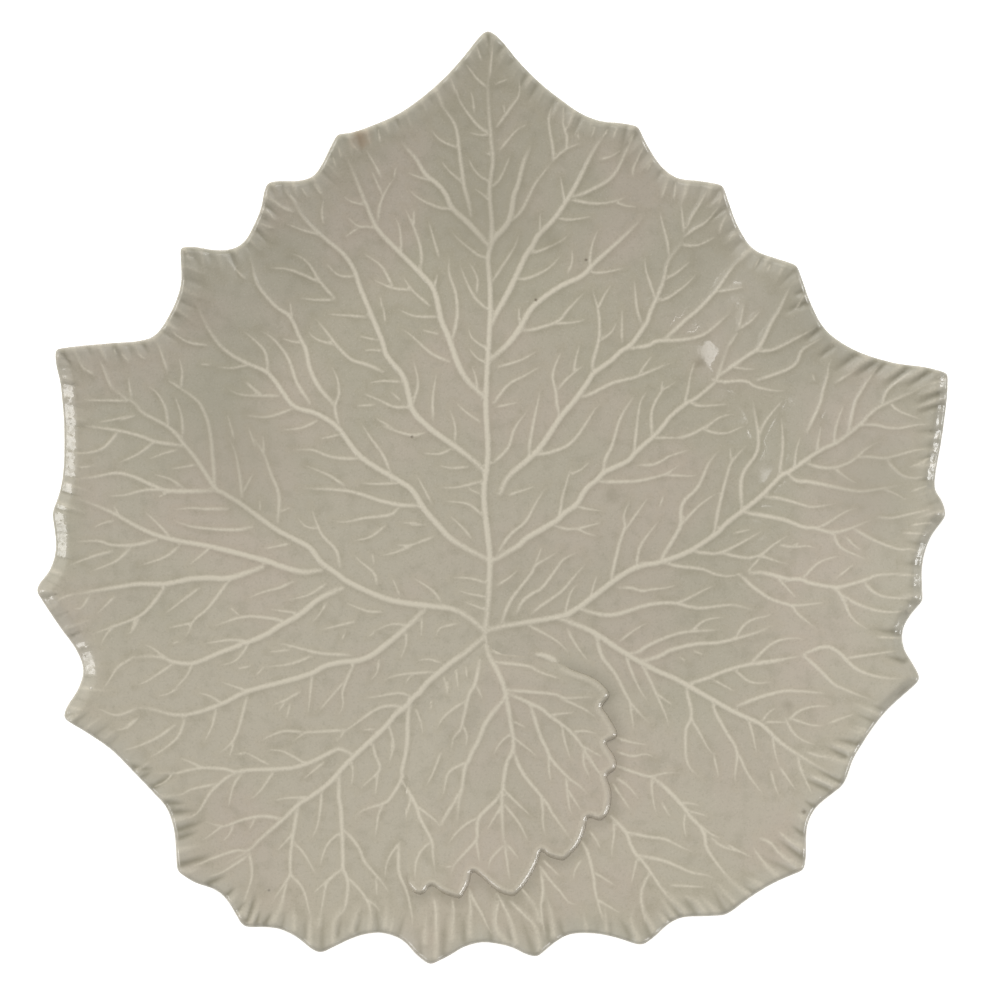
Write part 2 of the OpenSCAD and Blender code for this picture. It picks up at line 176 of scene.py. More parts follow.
# Main veins in pixels of the photograph, each from its root to its tip
main_veins_px = """
485,632 488,606 490,562 488,537 484,495 488,452 486,399 490,320 490,286 488,259 491,245 492,223
490,201 490,183 493,161 491,138 488,89 492,42|489,246 470,225 452,208 446,195 438,185 425,174
415,158 405,147 399,137|485,398 463,374 448,336 441,319 434,290 421,274 399,252 378,230 367,207
350,165 341,147|486,473 468,456 432,430 414,412 409,396 403,376 387,356 381,338 361,290 354,270
343,254 325,239 305,220 290,197 278,184|488,560 454,541 439,526 425,510 412,490 399,481 361,457
338,428 317,414 295,407 284,394 275,381 265,371 248,364 230,354 217,342 205,323 194,299
185,288|485,631 468,617 452,609 430,606 390,600 352,584 336,573 321,562 310,548 294,539 274,528
241,504 223,493 215,488 196,459 185,446 176,434 165,425 143,413 134,403 125,398 112,388 108,377
100,361|321,570 303,572 283,567 263,560 212,547 179,541 156,535 136,526 111,512 89,503
69,497|263,567 230,578 210,578 190,579 165,584 138,584 112,588 65,596|342,588 319,599 299,615
279,626 263,636 219,653 194,663 174,662 160,657 138,657 122,665|424,610 408,626 378,651 361,660
343,662 325,666 312,673 290,680 248,691 221,704 190,714 170,714 152,709 134,708 118,712|484,637
465,653 452,662 428,682 420,692 413,698 405,707 395,715 385,727 348,762 330,782 310,797 300,803
280,822 260,839 250,849 224,865 210,872|485,632 500,627 556,617 575,610 622,575 644,565 657,563
688,552 717,533 727,523 760,497 781,476 792,470 813,455 825,448 838,442 860,425 878,408 915,391
952,371|556,617 591,631 620,650 655,670 678,680 731,710 755,721 764,726 778,740 796,753
846,783|489,563 518,546 527,538 556,521 562,515 577,504 582,495 588,487 597,480 605,472 628,461
635,453 658,432 671,416 687,403 695,399 711,386 717,378 729,345 739,329|500,494 505,482 512,473
538,450 560,418 575,400 588,382 594,373 612,360 620,352 628,347 635,340 647,322 650,313 663,283
668,262 680,245 687,227|490,360 508,344 520,328 531,309 546,296 563,285 582,276 596,262 627,234
648,212|490,328 494,318 510,289 525,257 532,247 538,236 555,218 574,189 593,152 605,134
610,124|490,248 495,238 509,221 514,196 518,185 524,162 533,142
"""
# Side veins and twigs in pixels of the photograph, each from its root to its tip
side_veins_px = """
488,88 478,80 464,62|490,134 478,126 462,105 456,90|474,112 473,100 470,90|490,135 478,135
468,132|490,182 481,177 473,168 468,157|490,202 482,194 473,188|471,216 468,200 464,185 459,148
457,132 452,120 434,96|457,148 440,140 430,128|463,183 450,172 440,160|489,258 478,255 457,238
451,230|488,310 476,299 468,285 459,263|477,293 477,277 468,261|488,350 472,338 468,326|487,363
477,358 468,347|478,393 476,378 471,365|480,422 466,412 454,401|483,481 459,487 439,488|483,516
468,504 443,501|471,538 463,528 449,515|487,583 468,578 450,578|487,597 470,594 457,590|486,610
463,601|497,127 512,106 519,95 519,76|505,113 503,103|500,150 515,132 524,126|492,187 500,179
511,154|492,282 514,248 519,232|499,367 521,360 539,350|494,403 508,385 526,375 543,365|493,463
508,448 515,428 530,407|499,551 510,535 526,521 537,501 548,484|452,209 440,208 425,202 412,193
408,187|432,181 418,177 406,172|452,340 457,318 456,295 449,272 450,252|434,289 438,272|430,306
412,290 402,275|411,290 392,288 372,279|393,287 381,266 361,252|437,317 414,316 396,308|450,362
432,354 414,338 400,327|421,268 421,250 414,228 403,205|414,226 414,208|401,252 401,240 399,226
394,216|439,257 428,220|378,229 368,227 358,226 346,216|358,228 344,238|378,221 380,205 388,187
395,178|382,194 371,170|365,205 352,202 342,196|381,178 376,167 365,148|410,407 394,407 379,400
359,392|413,404 418,383 413,359|433,419 433,396 437,370|455,441 455,425 449,408|424,433 410,435
378,425|451,449 439,454 421,453|468,467 452,468 437,465|401,382 381,381 367,384|376,340
358,336|383,372 368,365 352,360 338,347 325,330 312,315|385,321 383,304|320,235 305,231
284,223|354,277 338,275 325,262|335,299 321,283 306,261 288,252|321,283 290,270 266,268|293,212
283,208 275,202 268,194|339,426 335,407 339,394 337,378 330,364|335,406 319,387 310,369 306,350
299,336 290,317 275,306 257,284 252,264 246,248|310,403 297,383 288,358 272,338 256,329|268,370
265,352 252,338 241,330|390,471 383,455 370,437 360,421|431,502 416,474|248,365 232,368
216,367|279,396 243,395 226,388|292,409 268,417 243,415|317,421 301,428 281,430|339,435
319,439|359,459 338,458 325,455 312,450 290,450|345,486 328,475 304,465|399,483 379,484
358,483|421,506 401,505 381,501 347,491 297,488|399,507 390,515 365,518 345,522 330,520|423,525
408,525|385,526 370,537 352,541|433,537 410,545 392,544|441,602 432,590 412,577|400,596
392,577|377,584 374,573 361,562 352,553|340,567 336,550 321,533 310,504|278,521 279,495 271,474
264,454 257,443 252,432|264,454 263,434|279,512 292,507|260,510 260,499|242,497 240,477 235,452
228,437|243,492 254,472|215,486 210,432 203,410 194,398 168,381|181,388 182,370 178,356|183,435
181,414 174,394|168,426 165,407 156,392 145,385|185,446 156,442 143,437 120,431 78,425|154,442
138,454 116,464|118,432 103,448 85,453 69,452|196,465 170,469|212,491 170,491 152,485 134,477
116,473 94,477 71,479|165,490 145,490 125,495 105,496|183,488 170,479 152,474|228,509 205,509
190,508 172,510|252,527 234,530 194,527 170,519|129,401 80,400|134,416 117,421|170,537 158,524
143,510|210,548 188,566|179,546 165,557 138,566|156,540 134,545 112,545 98,541 71,542|130,548
116,561 89,572|112,551 91,557 67,566|230,579 208,608 194,620 188,633 181,641|165,586 154,602 141,615
123,623 87,636|136,617 130,635|199,588 163,615|114,597 96,615|292,582 279,588 263,592
246,599|326,584 308,595 286,600|288,622 268,618 243,617 210,627|252,642 230,640 201,644|192,664
187,675 172,692|170,661 154,649 143,644|174,663 147,681 134,685|381,612 367,611 344,602|354,622
319,630|407,626 392,624 374,631|406,631 406,644 400,660|350,655 319,653 288,645 272,642|312,656
290,664 263,667|248,691 219,681|221,703 210,696 196,692|354,663 343,690 343,705 337,718|343,683
317,713|312,676 308,715|300,692 285,700 270,706|285,702 278,712|290,705 286,720|175,725 158,737
138,746 120,751|185,717 179,735 165,748 147,759|216,708 212,726 203,744|247,697 237,733 227,747
215,755|234,742 229,758|136,718 123,729|432,672 398,675 382,681|441,663 428,659 416,661|411,697
400,693 373,697 362,698|402,706 388,706 375,710 355,724 345,731 339,740|345,730 315,732 305,733
289,744|303,732 285,731 272,735 258,742|354,755 340,749 331,752 313,761 290,768 247,770 235,772
225,769 200,768 176,773 160,773 143,775|306,764 287,753 277,750 265,750|274,771 259,792
247,801|242,773 236,781 232,790 228,809|236,773 226,778 210,793 197,813 178,821|216,784 192,789
182,794 172,797|203,768 191,762 179,758|268,764 245,752|324,762 302,780|310,797 286,798
272,801|283,819 262,816 241,820 231,824 221,826 200,820|222,826 202,841|233,824 230,833
222,842|255,819 248,831|249,850 252,874 246,896 241,906|246,850 230,852 188,868|389,725 394,745
391,755 389,766|373,742 375,754 379,763 379,771 364,785 358,793|378,772 375,796|339,773 339,798
341,810 343,857 343,867 348,883 345,907 337,918 329,940|343,830 352,838 360,850 365,862 382,882
393,899|341,832 332,839 325,849 319,868|343,869 334,875 327,883 324,895 320,920|331,877
312,894|346,876 361,891 370,908 370,928|366,899 374,904 381,912|351,761 353,773 351,787|321,790
321,802 318,823 311,840|298,806 292,842 290,865 290,875 276,896 269,908|287,882 279,912|290,875
299,883 305,894 311,920|293,833 276,852|295,843 305,855 317,876|411,702 408,715 407,745 402,770
402,778 391,797 384,803 363,810 357,816 353,826|383,804 378,817 375,839|399,843 391,854 386,866
385,880|399,843 399,871 407,892 412,916 412,932|502,622 511,600 531,574 536,565 553,555
561,547|517,612 523,601 533,593 542,588 557,568 564,559 582,550|532,613 542,605 562,591 578,572
589,561|565,612 571,592 579,583|591,596 594,584 598,574|610,584 619,545 625,527 624,515
632,495|625,530 649,496|636,568 641,545 661,518|660,561 677,533 681,523 681,510 685,500 698,487
708,465 716,454 725,446|681,525 700,505 720,491|714,534 719,507 728,472 732,462 750,441|731,460
730,446|742,511 742,477 757,452 758,432 754,408 753,395|759,436 763,426 770,415 784,399|779,477
783,445 781,414|795,468 796,452 801,435|817,452 821,424|807,432 820,404 823,391 827,378 829,364
835,354|834,443 836,428 840,414 846,402|848,434 854,407 859,395 873,373 882,363|882,405 886,393
893,385 914,369|889,402 899,411 923,420|860,425 875,425 888,428 902,428 916,425 934,424|806,463
818,467 832,468 844,465 855,459 865,450 874,444 884,440|834,468 850,480 860,484|858,457 872,457
887,458 917,450 933,449|887,459 894,468 904,476 916,478 930,475|787,473 797,481 810,482 850,490
866,491 907,484|884,489 896,494 908,501|912,491 930,485|765,497 778,498 800,504 813,507
838,503|741,512 781,519 803,527 815,528 838,532 879,517|879,517 892,518 906,515 934,508|817,528
826,524 847,511 860,508|853,528 874,540 898,549 911,549 924,553|834,532 838,544 847,551
868,560|846,537 855,546 863,551|912,525 935,522|905,533 930,534|690,551 705,553 720,553 741,543
767,528|720,553 747,558 760,556 783,563 794,563|757,557 765,552 773,545 790,534|760,558
746,573|735,533 752,529|662,562 677,566 702,569 712,573 724,576 736,575 747,570|738,574 745,579
752,586 771,599 792,606 798,614 821,632|788,605 803,605 827,602|750,573 764,573 788,579 801,579
810,583 833,587 844,586 868,579 879,575 919,573|832,587 839,592 844,600 853,619 872,632|841,594
852,601 865,607 880,611 896,612 911,608|864,582 874,592 887,597 918,599|803,578 820,562
842,555|838,577 855,563|778,578 798,600|780,545 793,547 806,546 818,548|792,546 801,542|580,608
590,612 613,615 648,605 673,603 698,608 729,605 743,607 764,613|676,603 687,599 706,589
717,585|620,588 632,588 642,591 654,589 665,588 680,584|629,654 640,651 649,645 680,633 716,630
727,628|690,632 706,620 726,617|640,661 651,659 662,655 671,650 696,644 722,642 758,632 769,627
780,625|735,639 741,629 748,622 757,618 767,616 775,611|686,685 710,677 722,672 746,665 773,662
804,654|803,655 817,667 833,683 842,688 864,697 876,700|804,654 822,647 832,648 841,654 857,669
880,677 908,679|749,665 773,643 795,638 808,641|734,669 751,682 774,682|847,658 901,650|714,680
736,692|878,637 903,638|737,706 760,697 784,691 797,691 823,693 833,695|788,721 796,713 806,708
818,706 832,707|790,718 812,725 826,725|762,722 768,713 777,707|786,719 791,729 798,737 807,742
818,745|808,752 820,756 836,758|835,745 847,748|528,625 557,641 571,656|568,630 573,640 584,656
592,663|596,634 602,656 616,675 631,703 653,727|630,702 634,731|624,652 638,686 650,704|640,661
652,684 667,719 668,732|657,694 674,706|686,683 688,696 691,708 691,719 686,730 686,754 689,766
696,774 705,779|691,719 697,728 708,748 716,756|713,699 715,711 727,733 737,751 735,777
737,790|736,750 742,761 748,774 765,797|748,719 752,731 757,755|773,737 775,752 779,766|771,771
775,786 780,798|798,756 801,769 813,796|812,776 836,788|760,838 771,843 779,853 788,861
799,868|780,832 790,841 803,848|755,850 764,862 778,876|712,838 722,846 748,854|739,329
744,303|739,329 750,322 761,310|558,520 561,508 563,495 572,464|569,475 580,470 591,461|603,472
606,458 612,446 619,422 625,410 637,391|634,453 639,409 643,397 650,387|652,437 652,411 662,391
670,386 678,379|661,392 663,379|684,405 688,390 690,377 694,364|575,506 588,509 604,511|556,526
566,529 577,529 586,533 600,537|577,529 603,522|597,481 611,482 638,481 660,476 668,473
684,461|664,475 690,476 700,474|640,465 652,465 662,461 670,456 692,449|651,438 677,438
687,440|677,438 690,435 709,425 717,419 727,415 738,415|703,429 715,433 728,433 739,428
748,426|690,402 700,406 730,404|712,379 724,382 737,381 748,382 756,387 778,391 790,389|717,378
724,372 749,355 757,350 763,341 773,320 779,311 789,289 795,279|755,351 767,351 778,348 808,332
819,324|733,367 745,369 758,369|758,380 782,372 792,367 798,361 801,352 808,346 828,335|530,457
530,443 538,401 542,388|560,417 557,404 556,392 553,380 554,369 563,347|559,388 568,378
585,364|574,372 576,358 580,344|593,374 593,362 599,339 599,315 594,295 590,285|599,341 607,336
613,330 617,321|598,309 604,296 612,284|622,341 622,308|641,322 637,308 634,278|655,299 651,285
646,271 645,255|580,397 591,394 613,383 636,377 668,364 678,362|639,375 645,365 653,355|531,456
555,451 574,440 596,408 604,400|625,349 647,346 658,341 682,340 703,335 719,323 735,308|663,341
688,318 697,311 716,291 730,271 745,252|718,292 745,287|659,301 670,297 688,283 697,273|665,279
675,274 692,260|685,236 695,229 706,222 722,203|687,227 692,216 698,207 709,187|684,232
681,202|682,245 694,246 706,242 717,236|589,269 592,246 599,227|588,271 600,273 626,268|519,330
531,330 552,324 561,319 567,311 581,296 588,290|553,324 577,322 587,318|568,273 572,262
572,248|540,231 540,212|565,203 560,175|571,197 583,194 605,183 613,176 619,167 634,134|570,200
597,204 619,200 629,195|615,202 626,206 638,207|558,218 570,220 594,216|528,253 540,251 561,241
570,233|517,279 529,278 549,268 562,254|509,222 517,216 524,207 536,183 553,161|553,161 553,149
549,124 550,112 554,101|553,161 561,153 571,147 583,143|566,150 567,137 563,124 565,110|469,889
475,902 482,914 488,927 495,938|497,893 511,920 517,935|499,900 496,915 497,930 503,941|452,900
454,913 451,938|434,898 436,912 436,926 437,941 435,957|469,893 471,908 471,923|510,901 528,918
537,928 541,940|521,888 531,899|540,866 550,880 560,891 569,902 580,905|543,860 562,878|541,870
543,890 541,909 546,940|581,860 575,870 573,881|582,842 588,853 594,878 595,890 605,928|594,872
618,887|597,899 622,914|590,831 597,841 601,850|611,816 626,832 630,843 636,854 645,864 665,893
676,904 684,914|627,832 650,837 665,839 688,850 698,852|614,820 614,835 612,848 612,859|638,855
665,861 691,872 707,875 720,881|637,858 631,885|650,872 644,884 641,897 646,928|613,784
632,812|617,778 629,787 640,800|617,766 643,775 652,776 665,773 682,772|652,776 652,790 654,805
658,817|652,777 667,789 683,806 691,817 700,826 705,836 707,848 723,871 742,890|680,803 690,803
701,806|687,811 698,813 710,817|700,825 710,833 722,839|686,811 684,825 687,839|662,803
671,818|618,752 632,756 646,754 658,759|618,738 631,742 649,745|485,632 488,655|490,76 493,43|481,60
476,44|459,97 454,88 450,76|497,84 503,81 509,80|491,156 485,152|519,128 528,125|380,142
378,127|341,157 338,146|563,117 564,104|579,140 577,131|592,136 596,124|602,138 610,127|613,138
618,126|630,144 635,131|633,176 634,167 646,142|647,170 654,158|662,197 669,177|674,199
676,180|683,197 689,182|719,204 722,196|720,233 721,226 728,212|728,241 736,231|740,258
747,248|669,255 667,240 662,222 660,210|601,160 612,156 622,150|336,167 332,154|357,150
350,141|394,178 396,166|296,203 282,186|275,220 265,208|307,196 300,186|322,195 312,182|323,223
322,211 324,198|273,228 264,225 256,220|245,279 237,271 230,262|333,300 316,300 298,298|366,317
325,314|335,345 316,339 307,330|301,343 290,341 281,338|292,318 290,301|438,334 421,330|382,307
380,296|94,375 84,368 76,358|111,388 99,358|116,354 113,347|128,361 120,352|145,359 135,352|167,370
157,341|206,345 190,343 176,335 170,329|210,365 199,364|182,390 174,384 166,380|131,396
128,376|133,416 96,423|91,466 77,468|121,519 113,504|113,521 103,523 93,528|177,450 162,454
147,460|170,491 157,498|234,438 227,413|259,395 244,381|497,407 520,402|519,321 519,306|728,347
739,331|837,382 860,367|817,446 820,431|691,372 695,360|755,267 760,257|767,272 772,262|779,274
784,265|796,309 806,292|382,351 372,350 363,351|400,400 390,391|374,405 355,406|262,396
245,380|391,427 375,418|255,446 248,426|318,529 305,526 297,516|423,525 412,523 401,523|289,544
262,549|410,547 396,552 380,556|509,495 536,486|536,563 542,546|498,585 510,577 519,569|620,641
633,631 648,622|480,494 467,488|660,506 664,494|89,596 81,608 72,608|192,623 167,628|180,641
170,644|115,624 104,638 101,647|133,657 118,667 108,682 101,691|177,689 167,694 157,696|250,642
236,660 218,666|250,666 236,669|138,708 116,715 96,707|138,718 126,728 113,730|139,617 133,630
126,635|231,608 240,616|74,594 64,597 55,602|374,564 372,552|297,613 269,609|326,604 318,616
311,623|345,633 341,641|377,630 367,638|264,667 255,676|289,650 267,652|379,660 377,672
370,681|422,618 421,638|456,624 440,628 436,638|411,676 404,684|374,729 361,730|345,731
335,743|416,709 421,723 423,736|444,677 448,694|899,575 918,575|680,657 687,662|694,651
704,655|765,722 790,722|829,723 856,713|714,755 719,779|780,767 797,792|728,845 753,858|237,754
248,753 256,757|173,772 166,781 151,788|249,855 222,872 205,877|392,740 392,760|452,740
452,755|376,879 377,897|671,885 708,887|813,375 815,383|930,458 918,464 907,468|400,777
410,794|753,663 803,656
"""


def length_of(line):
    return np.linalg.norm(np.diff(line, axis=0), axis=1).sum()


def ridge(line, w, h, pale, dark):
    """A ridge or furrow: its half width, height, paleness and darkening at each stop. The darkening
    is pooled glaze, and painted shade where it stands for a shadow.
    """
    values = np.broadcast_arrays(w, h, pale, dark, line[:, 0])
    return {"line": line, **dict(zip(("w", "h", "pale", "dark"), values))}


def vein(points, width=None, height=None, pale=None):
    """A vein that narrows and sinks to its tip. What isn't given follows its length."""
    line = smooth_line(points, vein_step)
    share = np.linspace(0, 1, len(line))
    long = min(1, length_of(line) / long_vein)
    width = width or (0.85 + 0.4 * long) * mm
    height = height or (0.13 + 0.1 * long) * mm
    pale = pale or 0.62 + 0.24 * long
    # It comes out of its parent's flank over its first 0.15
    fade = np.minimum(1, 0.6 + share / 0.15 * 0.4) * (1 - share**8)
    return ridge(line, width * (1 - 0.3 * share), height * (1 - 0.4 * share) * fade,
                 pale * (1 - 0.2 * share) * fade, 0)


def along_line(p, line):
    """How far each place is from each stretch of a line, and how far along the stretch it lies."""
    a, run = line[:-1], np.diff(line, axis=0)
    away = p[:, None] - a
    along = np.clip((away * run).sum(-1) / (run * run).sum(-1), 0, 1)
    return np.linalg.norm(away - along[..., None] * run, axis=-1), along


def relief(p, ridges):
    """Each place's height, paleness, pooled glaze with painted shade, and nearness to a ridge, from
    all the ridges.
    """
    height, sink, pale, pool_and_shade, beside = np.zeros((5, len(p)))
    for r in ridges:
        line, w = r["line"], r["w"]
        reach = 2.4 * w.max()
        near = np.nonzero(((p > line.min(0) - reach) & (p < line.max(0) + reach)).all(1))[0]
        if not len(near):
            continue
        off, along = along_line(p[near], line)
        stops = np.arange(len(line))
        stop = stops[:-1] + along
        wide, high, light, dark = [np.interp(stop, stops, r[k]) for k in ("w", "h", "pale", "dark")]
        crest = np.clip(1 - (off / wide) ** 2, 0, 1) ** 2
        height[near] += np.maximum(0, high * crest).max(1) ** 4
        sink[near] = np.maximum(sink[near], (-high * crest).max(1))
        pale[near] = np.maximum(pale[near], (light * crest).max(1))
        pool_and_shade[near] = np.maximum(pool_and_shade[near], (dark * crest).max(1))
        if abs(r["h"]).max() > least_ridge:
            beside[near] = np.maximum(beside[near], np.clip(1.45 - 1.05 * off / wide, 0, 1).max(1))
    return height**0.25 - sink, pale, pool_and_shade, beside


main_veins = [vein(line, main_vein_w, main_vein_h, 1.0) for line in traces(main_veins_px)]
side_veins = [vein(line) for line in traces(side_veins_px)]

# Glaze pools along each main vein, in a band that also paints the veins' soft shade. Along the
# small leaf's free edge, a painted shadow darkens the large leaf.
vein_shade_w = 3.4 * mm
vein_pools_and_shade = [ridge(r["line"], vein_shade_w, 0, 0, 0.24 * r["pale"]) for r in main_veins]
edge_shadow_w = 4.4 * mm
edge_shadow_off = 1.1 * mm
# The small leaf's outline in pixels, clockwise from the stalk. Its free rows start at a tooth.
small_rim_px = """
485,640 501,651 528,653 548,654 556,656 | 557,662 572,671 591,678 601,685 |
609,694 605,700 600,706 607,717 613,727 | 617,735 613,738 604,742 610,752 614,758 |
616,765 613,770 605,775 609,788 610,797 607,813 | 600,820 587,816 584,828 577,845 |
563,860 548,855 541,849 535,865 523,885 | 513,896 498,890 473,870 468,882 |
460,898 443,892 431,884 | 422,894 415,892 | 408,884 404,855 403,820 405,778 413,727 436,690 465,656
"""
# The line in pixels along which the small leaf runs out into the large one
merge_px = "404,862 403,820 405,778 413,727 436,690 465,656 485,640 501,651 528,653 546,655"
small_rim, small_out = scalloped(traces(small_rim_px), 0.7 * mm)
merge_line = traces(merge_px)[0]


def from_line(p, line):
    return along_line(p, line)[0].min(1)


def free_stretches(loop):
    """Short stretches of a line round the small leaf that stand free, and how free each stop is."""
    for start in range(0, len(loop), 12):
        rows = np.arange(start, start + 13) % len(loop)
        free = np.clip(from_line(loop[rows], merge_line) / (9 * mm), 0, 1)
        if free.min() > 0.02:
            yield rows, free


# Painted shadow of the small leaf's free edge on the large leaf, darkest near the edge and fading
# outwards
edge_shadow_line = small_rim + small_out * edge_shadow_off
painted_edge_shadow = [ridge(edge_shadow_line[rows], edge_shadow_w, -0.01 * mm, 0, 0.42 * free)
          for rows, free in free_stretches(small_rim)]
# The small knob of clay beside the small leaf's top
knob_w = 1.7 * mm
knob_h = 0.7 * mm
knob = vein(traces("556,662 550,658 541,655 533,654")[0], knob_w, knob_h, 1.0)

# The lip was fettled with a slope that faces outwards, wide on the left and narrow on the right
lip_slope = 0.85
slope_start = 0.5 * mm
left_x = -0.112
right_x = 0.118
on_left = np.clip((left_x - rim[:, 0]) / (10 * mm), 0, 1)
on_left *= np.clip((-rim_out[:, 0] - 0.45) / 0.35, 0, 1)
on_right = np.clip((rim[:, 0] - right_x) / (6 * mm), 0, 1)
on_right *= np.clip((rim_out[:, 0] - 0.35) / 0.3, 0, 1)
bevel = on_left + 1.15 * on_right
bevel_w = np.where(rim[:, 0] < 0, 3.2 * mm, 2.0 * mm)

# The crimps along the rim: short furrows pressed into the soft edge with a tool, with folds of clay
# between them that run back over the wall. Glaze pools in the furrows and breaks pale on the folds.
# Furrows that show in the photograph, in pixels, each from its inner end to the rim
furrows_px = """
809,338 818,330|822,355 833,345|841,366 860,352|860,373 875,363|877,372 886,362|892,381
909,367|913,383 930,371|922,402 939,394|924,411 941,404|792,309 811,301|797,294 806,289|881,630
899,633|890,657 904,661|899,694 913,687|841,740 861,744|831,749 845,756|822,772 841,782|809,781
828,789|807,802 815,807|795,828 805,835|784,844 805,859|768,860 792,871|746,887 754,892|727,896
734,905|714,892 724,910|685,899 696,914|668,904 681,917|666,915 671,922|644,919 650,937|622,922
631,938|560,920 562,932|547,920 549,940|524,925 534,953|508,925 511,939|489,925 492,940|464,920
464,940|445,925 443,958|420,942 421,958|376,910 379,929|361,919 357,930|341,922 338,935|323,925
322,951|306,919 305,939|285,915 282,927|270,915 264,925|259,914 255,925|254,899 247,920|244,904
237,913|233,889 225,896|222,877 208,883|205,857 181,864|193,833 178,838|198,823 176,830|190,811
171,812|181,803 166,803|173,774 150,789|149,769 132,767
"""
# Folds that show in it
folds_px = """
826,349 838,339|848,373 868,358|884,379 899,368|903,381 921,371|922,394 941,387|919,407
941,400|850,730 868,735|833,744 856,751|818,754 851,764|812,774 841,787|795,812 808,821|784,835
805,849|769,843 785,856 802,869|759,859 777,875|746,877 761,885|733,882 746,893|725,876
748,894|717,883 734,902|701,896 717,912|676,896 694,899 706,914|665,889 688,915|660,896
676,919|658,912 668,923|642,888 642,905 655,932|635,907 631,919 639,940|544,891 551,912
554,935|523,893 534,904 540,921|515,903 534,924 541,953|505,903 516,942|495,894 495,925
507,942|470,904 470,935|453,903 452,939|439,901 437,925 436,957|426,914 425,942|387,904
386,925|370,906 371,917 369,929|360,904 355,917 351,930|346,901 335,919 333,945|322,912
318,925|312,912 310,925 310,945|294,906 294,929|284,891 281,906 273,922|260,901 255,914
250,924|250,899 245,915|247,901 240,914|238,893 230,902|200,868 184,872|199,845 180,850|190,817
172,821|176,795 158,797
"""
furrow_deep = 0.42 * mm
fold_w = 2.1 * mm
fold_h = 0.24 * mm
crimp_gap = 6.2 * mm
crimp_clear = 4.2 * mm
stalk = traces("485,632")[0][0]
chance = np.random.default_rng(7)


def crimp(line, width, height, pale, dark):
    """A furrow or fold along a line from the rim, strong there and faded at its inner end."""
    line = smooth_line(line, vein_step)
    share = np.linspace(0, 1, len(line))
    fade = 1 - share**2.5
    return ridge(line, width * (1 - 0.4 * share), height * fade, pale * fade, dark * fade)


def from_rim(i, long):
    """A line of that length from the rim back towards the stalk, with a slight bend."""
    back = stalk - rim[i]
    back = back / np.linalg.norm(back) - 1.1 * rim_out[i]
    back /= np.linalg.norm(back)
    bend = np.array([-back[1], back[0]]) * chance.uniform(-0.1, 0.1)
    return np.array([rim[i] + back * s * long + bend * s * s * long for s in (0.04, 0.5, 1)])


def longer(line, times):
    """A line read from its inner end to the rim, turned round and drawn out inwards."""
    return np.vstack([line[::-1], [line[-1] + (line[0] - line[-1]) * times]])


crimps = []
for line in traces(furrows_px):
    # The furrows of the lower edge are less dark
    dark = 0.5 if line[-1][1] < -0.115 and line[-1][0] > -0.07 else 0.75
    furrow_w = (1.4 + 90 * length_of(line)) * mm
    crimps.append(crimp(longer(line, 1.5), furrow_w, -furrow_deep, 0, dark))
crimps += [crimp(longer(line, 1.35), fold_w, fold_h, 0.5, 0) for line in traces(folds_px)]
seen = np.array([line[-1] for line in traces(furrows_px) + traces(folds_px)])
place = 0.0
while place < len(rim) - 1:
    gap = crimp_gap * chance.uniform(0.6, 1.4)
    i, half = int(place), int(gap / 2 / rim_step)
    place += gap / rim_step
    if np.linalg.norm(seen - rim[i], axis=1).min() < crimp_clear:
        continue
    line = from_rim(i, chance.uniform(4, 10) * mm)
    width = chance.uniform(1.3, 2.1) * (1 - 0.4 * on_left[i]) * mm
    height = -chance.uniform(0.15, 0.34) * mm
    crimps.append(crimp(line, width, height, 0, chance.uniform(0.3, 0.65)))
    line = from_rim((i + half) % len(rim), chance.uniform(5, 12) * mm)
    width = chance.uniform(1.2, 2) * mm
    height = chance.uniform(0.08, 0.2) * mm
    crimps.append(crimp(line, width, height, chance.uniform(0.3, 0.6), 0))


# The large leaf's mesh: its top is laid out so that mesh lines run along every crest, which keeps
# the ridges crisp. The lip and the underside are drawn out from the edge of the top.
def inside(p, loop):
    ends = np.roll(loop, -1, 0)
    rise = np.where(ends[:, 1] == loop[:, 1], 1e-12, ends[:, 1] - loop[:, 1])
    found = []
    for part in np.array_split(p, max(1, len(p) // 4000)):
        y = part[:, 1:]
        crosses = (loop[:, 1] > y) != (ends[:, 1] > y)
        x = loop[:, 0] + (y - loop[:, 1]) / rise * (ends[:, 0] - loop[:, 0])
        found.append((crosses & (part[:, :1] < x)).sum(1) % 2 == 1)
    return np.concatenate(found)


def nearest_of(places):
    tree = KDTree(len(places))
    for i, p in enumerate(places):
        tree.insert((*p, 0), i)
    tree.balance()
    return tree


